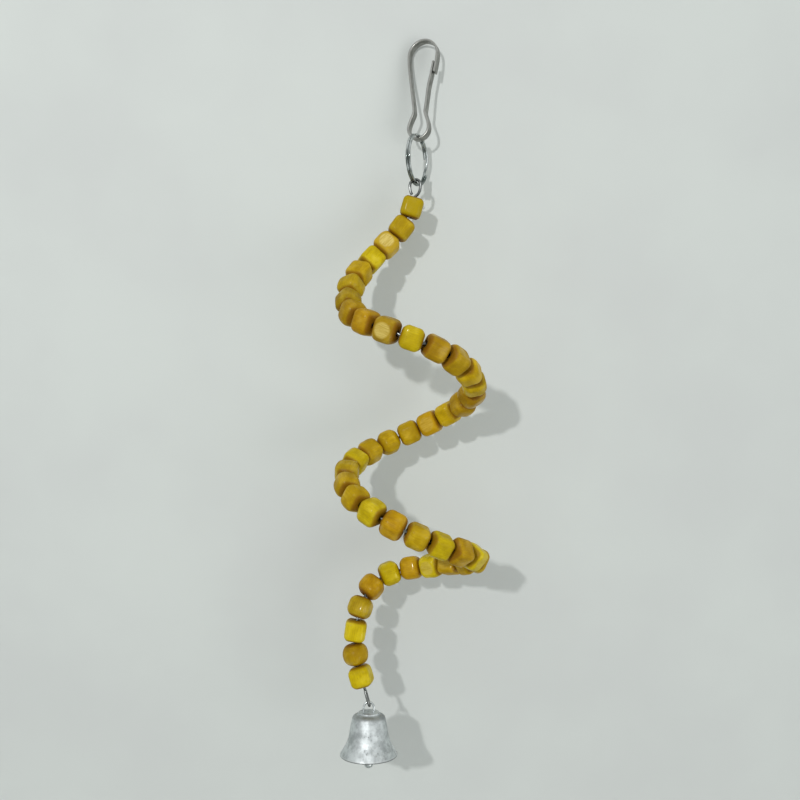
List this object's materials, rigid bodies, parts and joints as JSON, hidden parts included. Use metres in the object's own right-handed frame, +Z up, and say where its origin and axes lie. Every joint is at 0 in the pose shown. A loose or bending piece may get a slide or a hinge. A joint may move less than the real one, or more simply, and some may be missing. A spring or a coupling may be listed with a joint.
{
  "type": "spiral bird perch",
  "caption": "Hanging spiral bird perch: dyed square wooden beads strung on a coiled spring wire, hung by a sprung clip and split ring, with a small bell at its lower end.",
  "frame": {"origin": "middle of the clip's hanging seat, the flat inside of its upper bend", "axes": "+Z up with the perch hanging free, +X to the right seen from the front, +Y from the front to the back"},
  "size_m": [0.073, 0.0786, 0.3292],
  "materials": {
    "strip_steel": "dull plated strip, lightly scratched",
    "ring_steel": "bright nickel plate",
    "spring_wire": "drawn spring wire, bare",
    "lemon_wood": "lemon dye, matt, grain showing",
    "ochre_wood": "ochre dye, matt, grain showing",
    "mustard_wood": "mustard dye, matt, grain showing",
    "amber_wood": "amber dye, matt, grain showing",
    "olive_wood": "olive-yellow dye, matt, grain showing",
    "pale_wood": "thin yellow dye sanded back to pale wood",
    "bell_metal": "dull nickel plate, pitted and mottled",
    "bell_wire": "plated wire"
  },
  "bodies": {
    "hook": {"hook_frame": "strip_steel"},
    "gate": {"hook_gate": "strip_steel"},
    "ring": {"split_ring": "ring_steel"},
    "lead_in": {"spiral_wire": "spring_wire", "bead_04": "lemon_wood"},
    "front_turn_1": {"bead_11": "lemon_wood"},
    "back_turn_1": {"bead_20": "mustard_wood"},
    "front_turn_2": {"bead_29": "mustard_wood"},
    "last_turn": {"bead_39": "amber_wood"},
    "bell": {"bell_shell": "bell_metal", "bell_staple": "bell_wire"},
    "clapper": {"clapper_link": "bell_wire", "clapper_weight": "bell_metal"},
    "bead_01": {"bead_01": "lemon_wood"},
    "bead_02": {"bead_02": "olive_wood"},
    "bead_03": {"bead_03": "pale_wood"},
    "bead_05": {"bead_05": "ochre_wood"},
    "bead_06": {"bead_06": "olive_wood"},
    "bead_07": {"bead_07": "olive_wood"},
    "bead_08": {"bead_08": "ochre_wood"},
    "bead_09": {"bead_09": "amber_wood"},
    "bead_10": {"bead_10": "pale_wood"},
    "bead_12": {"bead_12": "ochre_wood"},
    "bead_13": {"bead_13": "ochre_wood"},
    "bead_14": {"bead_14": "ochre_wood"},
    "bead_15": {"bead_15": "olive_wood"},
    "bead_16": {"bead_16": "ochre_wood"},
    "bead_17": {"bead_17": "ochre_wood"},
    "bead_18": {"bead_18": "mustard_wood"},
    "bead_19": {"bead_19": "amber_wood"},
    "bead_21": {"bead_21": "mustard_wood"},
    "bead_22": {"bead_22": "mustard_wood"},
    "bead_23": {"bead_23": "lemon_wood"},
    "bead_24": {"bead_24": "olive_wood"},
    "bead_25": {"bead_25": "mustard_wood"},
    "bead_26": {"bead_26": "mustard_wood"},
    "bead_27": {"bead_27": "lemon_wood"},
    "bead_28": {"bead_28": "amber_wood"},
    "bead_30": {"bead_30": "lemon_wood"},
    "bead_31": {"bead_31": "ochre_wood"},
    "bead_32": {"bead_32": "lemon_wood"},
    "bead_33": {"bead_33": "mustard_wood"},
    "bead_34": {"bead_34": "ochre_wood"},
    "bead_35": {"bead_35": "ochre_wood"},
    "bead_36": {"bead_36": "lemon_wood"},
    "bead_37": {"bead_37": "amber_wood"},
    "bead_38": {"bead_38": "lemon_wood"},
    "bead_40": {"bead_40": "olive_wood"},
    "bead_41": {"bead_41": "lemon_wood"},
    "bead_42": {"bead_42": "ochre_wood"},
    "bead_43": {"bead_43": "lemon_wood"}
  },
  "joints": [
    {"name": "gate_flex", "type": "hinge", "parent": "hook", "child": "gate", "pos_m": [0.00439, -0.00195, -0.0405], "axis": [-0.4067, -0.9135, 0], "range_deg": [0, 11], "stiffness_Nm_per_rad": 0.6},
    {"name": "ring_turn", "type": "hinge", "parent": "hook", "child": "ring", "pos_m": [0, 0, -0.05494], "axis": [0.9135, -0.4067, 0], "range_deg": [-40, 40]},
    {"name": "spiral_swing", "type": "hinge", "parent": "ring", "child": "lead_in", "pos_m": [-0.00016, 0.00011, -0.06675], "axis": [0.4067, 0.9135, 0], "range_deg": [-25, 25]},
    {"name": "spiral_stretch", "type": "hinge", "parent": "lead_in", "child": "front_turn_1", "pos_m": [-0.02544, -0.01688, -0.1219], "axis": [-0.0036, 0.9891, 0.1471], "range_deg": [-3, 8], "stiffness_Nm_per_rad": 2.4, "springref_deg": -0.9, "deforming": ["spiral_wire"]},
    {"name": "stretch_right_1", "type": "hinge", "parent": "front_turn_1", "child": "back_turn_1", "pos_m": [0.0296, -0.014, -0.15845], "axis": [-0.0036, 0.9891, 0.1471], "range_deg": [-16, 6]},
    {"name": "stretch_left_2", "type": "hinge", "parent": "back_turn_1", "child": "front_turn_2", "pos_m": [-0.02152, -0.00865, -0.20008], "axis": [-0.0036, 0.9891, 0.1471], "range_deg": [-6, 16]},
    {"name": "stretch_right_2", "type": "hinge", "parent": "front_turn_2", "child": "last_turn", "pos_m": [0.0349, -0.00012, -0.23243], "axis": [-0.0036, 0.9891, 0.1471], "range_deg": [-8, 3]},
    {"name": "bell_swing", "type": "hinge", "parent": "last_turn", "child": "bell", "pos_m": [-0.00517, 0.01752, -0.30136], "axis": [0, 1, 0], "range_deg": [-30, 30]},
    {"name": "clapper_swing", "type": "hinge", "parent": "bell", "child": "clapper", "pos_m": [-0.00515, 0.01761, -0.30818], "axis": [0.9979, 0, 0.0645], "range_deg": [-28, 28]},
    {"name": "turn_bead_01", "type": "hinge", "parent": "lead_in", "child": "bead_01", "pos_m": [-0.00097, 0.00159, -0.0765], "axis": [-0.2103, 0.143, -0.9671], "continuous": true},
    {"name": "turn_bead_02", "type": "hinge", "parent": "lead_in", "child": "bead_02", "pos_m": [-0.00504, 0.00262, -0.08616], "axis": [-0.5505, 0.0204, -0.8346], "continuous": true},
    {"name": "turn_bead_03", "type": "hinge", "parent": "lead_in", "child": "bead_03", "pos_m": [-0.01132, 0.00178, -0.09462], "axis": [-0.6091, -0.1857, -0.771], "continuous": true},
    {"name": "turn_bead_05", "type": "hinge", "parent": "lead_in", "child": "bead_05", "pos_m": [-0.02242, -0.00652, -0.11042], "axis": [-0.3785, -0.5749, -0.7254], "continuous": true},
    {"name": "turn_bead_06", "type": "hinge", "parent": "lead_in", "child": "bead_06", "pos_m": [-0.02527, -0.01321, -0.11809], "axis": [-0.1499, -0.659, -0.737], "continuous": true},
    {"name": "turn_bead_07", "type": "hinge", "parent": "front_turn_1", "child": "bead_07", "pos_m": [-0.02561, -0.02054, -0.12571], "axis": [0.0926, -0.7343, -0.6725], "continuous": true},
    {"name": "turn_bead_08", "type": "hinge", "parent": "front_turn_1", "child": "bead_08", "pos_m": [-0.02307, -0.02865, -0.13194], "axis": [0.3959, -0.7749, -0.4927], "continuous": true},
    {"name": "turn_bead_09", "type": "hinge", "parent": "front_turn_1", "child": "bead_09", "pos_m": [-0.01724, -0.03622, -0.1364], "axis": [0.6927, -0.6235, -0.3625], "continuous": true},
    {"name": "turn_bead_10", "type": "hinge", "parent": "front_turn_1", "child": "bead_10", "pos_m": [-0.00872, -0.04139, -0.13984], "axis": [0.8946, -0.3361, -0.2943], "continuous": true},
    {"name": "turn_bead_12", "type": "hinge", "parent": "front_turn_1", "child": "bead_12", "pos_m": [0.01113, -0.04114, -0.14588], "axis": [0.8813, 0.3532, -0.3141], "continuous": true},
    {"name": "turn_bead_13", "type": "hinge", "parent": "front_turn_1", "child": "bead_13", "pos_m": [0.01962, -0.03589, -0.14933], "axis": [0.7069, 0.6237, -0.3336], "continuous": true},
    {"name": "turn_bead_14", "type": "hinge", "parent": "front_turn_1", "child": "bead_14", "pos_m": [0.02589, -0.0282, -0.15293], "axis": [0.4678, 0.814, -0.3442], "continuous": true},
    {"name": "turn_bead_15", "type": "hinge", "parent": "front_turn_1", "child": "bead_15", "pos_m": [0.02939, -0.01894, -0.1566], "axis": [0.1883, 0.9182, -0.3484], "continuous": true},
    {"name": "turn_bead_16", "type": "hinge", "parent": "back_turn_1", "child": "bead_16", "pos_m": [0.02981, -0.00905, -0.16029], "axis": [-0.1117, 0.9314, -0.3465], "continuous": true},
    {"name": "turn_bead_17", "type": "hinge", "parent": "back_turn_1", "child": "bead_17", "pos_m": [0.02705, 0.00043, -0.16402], "axis": [-0.4008, 0.838, -0.3702], "continuous": true},
    {"name": "turn_bead_18", "type": "hinge", "parent": "back_turn_1", "child": "bead_18", "pos_m": [0.0215, 0.00839, -0.16818], "axis": [-0.6366, 0.6513, -0.413], "continuous": true},
    {"name": "turn_bead_19", "type": "hinge", "parent": "back_turn_1", "child": "bead_19", "pos_m": [0.01381, 0.014, -0.17275], "axis": [-0.801, 0.3966, -0.4486], "continuous": true},
    {"name": "turn_bead_21", "type": "hinge", "parent": "back_turn_1", "child": "bead_21", "pos_m": [-0.0044, 0.01592, -0.1827], "axis": [-0.8483, -0.2299, -0.477], "continuous": true},
    {"name": "turn_bead_22", "type": "hinge", "parent": "back_turn_1", "child": "bead_22", "pos_m": [-0.01273, 0.01181, -0.18769], "axis": [-0.7026, -0.5377, -0.4661], "continuous": true},
    {"name": "turn_bead_23", "type": "hinge", "parent": "back_turn_1", "child": "bead_23", "pos_m": [-0.01889, 0.0048, -0.19261], "axis": [-0.442, -0.7674, -0.4645], "continuous": true},
    {"name": "turn_bead_24", "type": "hinge", "parent": "back_turn_1", "child": "bead_24", "pos_m": [-0.02185, -0.00403, -0.19756], "axis": [-0.1104, -0.8759, -0.4698], "continuous": true},
    {"name": "turn_bead_25", "type": "hinge", "parent": "front_turn_2", "child": "bead_25", "pos_m": [-0.02118, -0.01327, -0.2026], "axis": [0.2335, -0.8447, -0.4816], "continuous": true},
    {"name": "turn_bead_26", "type": "hinge", "parent": "front_turn_2", "child": "bead_26", "pos_m": [-0.017, -0.0215, -0.20769], "axis": [0.5454, -0.6921, -0.4728], "continuous": true},
    {"name": "turn_bead_27", "type": "hinge", "parent": "front_turn_2", "child": "bead_27", "pos_m": [-0.00992, -0.02764, -0.21255], "axis": [0.7744, -0.4538, -0.4408], "continuous": true},
    {"name": "turn_bead_28", "type": "hinge", "parent": "front_turn_2", "child": "bead_28", "pos_m": [-0.00094, -0.03095, -0.21699], "axis": [0.903, -0.1668, -0.396], "continuous": true},
    {"name": "turn_bead_30", "type": "hinge", "parent": "front_turn_2", "child": "bead_30", "pos_m": [0.01852, -0.02837, -0.22418], "axis": [0.8815, 0.3795, -0.2808], "continuous": true},
    {"name": "turn_bead_31", "type": "hinge", "parent": "front_turn_2", "child": "bead_31", "pos_m": [0.02723, -0.02304, -0.22687], "axis": [0.7423, 0.6303, -0.2274], "continuous": true},
    {"name": "turn_bead_32", "type": "hinge", "parent": "front_turn_2", "child": "bead_32", "pos_m": [0.03375, -0.01506, -0.22908], "axis": [0.4582, 0.8673, -0.1946], "continuous": true},
    {"name": "turn_bead_33", "type": "hinge", "parent": "front_turn_2", "child": "bead_33", "pos_m": [0.03618, -0.00508, -0.2312], "axis": [-0.0207, 0.9744, -0.2238], "continuous": true},
    {"name": "turn_bead_34", "type": "hinge", "parent": "last_turn", "child": "bead_34", "pos_m": [0.03362, 0.00483, -0.23365], "axis": [-0.4197, 0.8832, -0.2093], "continuous": true},
    {"name": "turn_bead_35", "type": "hinge", "parent": "last_turn", "child": "bead_35", "pos_m": [0.02701, 0.01277, -0.23552], "axis": [-0.7555, 0.6316, -0.1741], "continuous": true},
    {"name": "turn_bead_36", "type": "hinge", "parent": "last_turn", "child": "bead_36", "pos_m": [0.01905, 0.01945, -0.2376], "axis": [-0.7816, 0.5927, -0.1944], "continuous": true},
    {"name": "turn_bead_37", "type": "hinge", "parent": "last_turn", "child": "bead_37", "pos_m": [0.00995, 0.02428, -0.23987], "axis": [-0.9237, 0.2945, -0.2449], "continuous": true},
    {"name": "turn_bead_38", "type": "hinge", "parent": "last_turn", "child": "bead_38", "pos_m": [0.00001, 0.02532, -0.24313], "axis": [-0.9033, -0.1238, -0.4108], "continuous": true},
    {"name": "turn_bead_40", "type": "hinge", "parent": "last_turn", "child": "bead_40", "pos_m": [-0.01237, 0.01925, -0.25835], "axis": [-0.2618, -0.2156, -0.9407], "continuous": true},
    {"name": "turn_bead_41", "type": "hinge", "parent": "last_turn", "child": "bead_41", "pos_m": [-0.01389, 0.0182, -0.26875], "axis": [-0.0915, 0.044, -0.9948], "continuous": true},
    {"name": "turn_bead_42", "type": "hinge", "parent": "last_turn", "child": "bead_42", "pos_m": [-0.01316, 0.0188, -0.2792], "axis": [0.2597, -0.0238, -0.9654], "continuous": true},
    {"name": "turn_bead_43", "type": "hinge", "parent": "last_turn", "child": "bead_43", "pos_m": [-0.00983, 0.01833, -0.28925], "axis": [0.3477, -0.0573, -0.9358], "continuous": true}
  ],
  "couplings": [
    {"joint": "stretch_right_1", "follows": "spiral_stretch", "ratio": -2},
    {"joint": "stretch_left_2", "follows": "spiral_stretch", "ratio": 2},
    {"joint": "stretch_right_2", "follows": "spiral_stretch", "ratio": -1}
  ]
}
